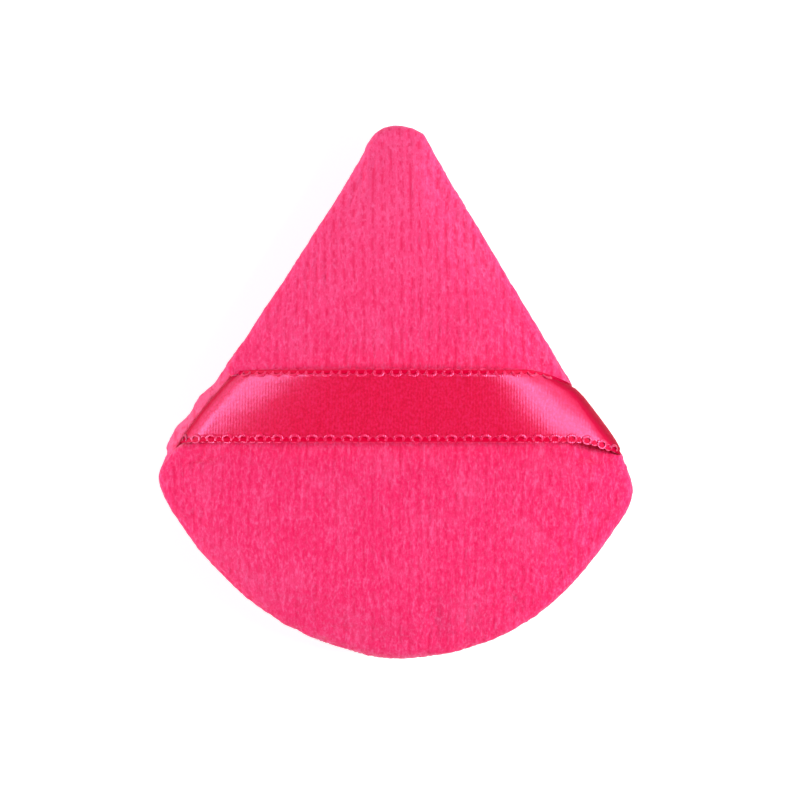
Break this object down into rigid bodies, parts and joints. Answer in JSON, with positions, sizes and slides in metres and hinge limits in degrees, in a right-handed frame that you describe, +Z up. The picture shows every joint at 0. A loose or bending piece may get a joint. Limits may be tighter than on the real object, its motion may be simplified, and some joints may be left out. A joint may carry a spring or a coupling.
{
  "type": "powder puff",
  "caption": "Rounded triangular velour powder puff with a sponge filling, a turned perimeter seam and a satin ribbon that arches over the fingers.",
  "frame": {"origin": "under the middle of the outline, on the surface that the puff lies on", "axes": "+Z up from the resting face through the ribbon side, +Y along the puff towards its tip, +X to the right seen from above with the tip away"},
  "size_m": [0.0711, 0.08, 0.0168],
  "materials": {
    "velour_front": "short dense pile, matte with a soft sheen",
    "velour_back": "short dense pile, matte with a soft sheen",
    "sponge": "open-cell soft sponge",
    "satin": "satin weave with a looped edge",
    "needle_yarn": "spun sewing thread",
    "bobbin_yarn": "spun sewing thread",
    "closing_yarn": "spun sewing thread"
  },
  "bodies": {
    "root": {"front_cover": "velour_front", "back_cover": "velour_back", "foam_core": "sponge", "finger_ribbon": "satin", "needle_thread": "needle_yarn", "bobbin_thread": "bobbin_yarn", "closing_thread": "closing_yarn"}
  },
  "joints": []
}
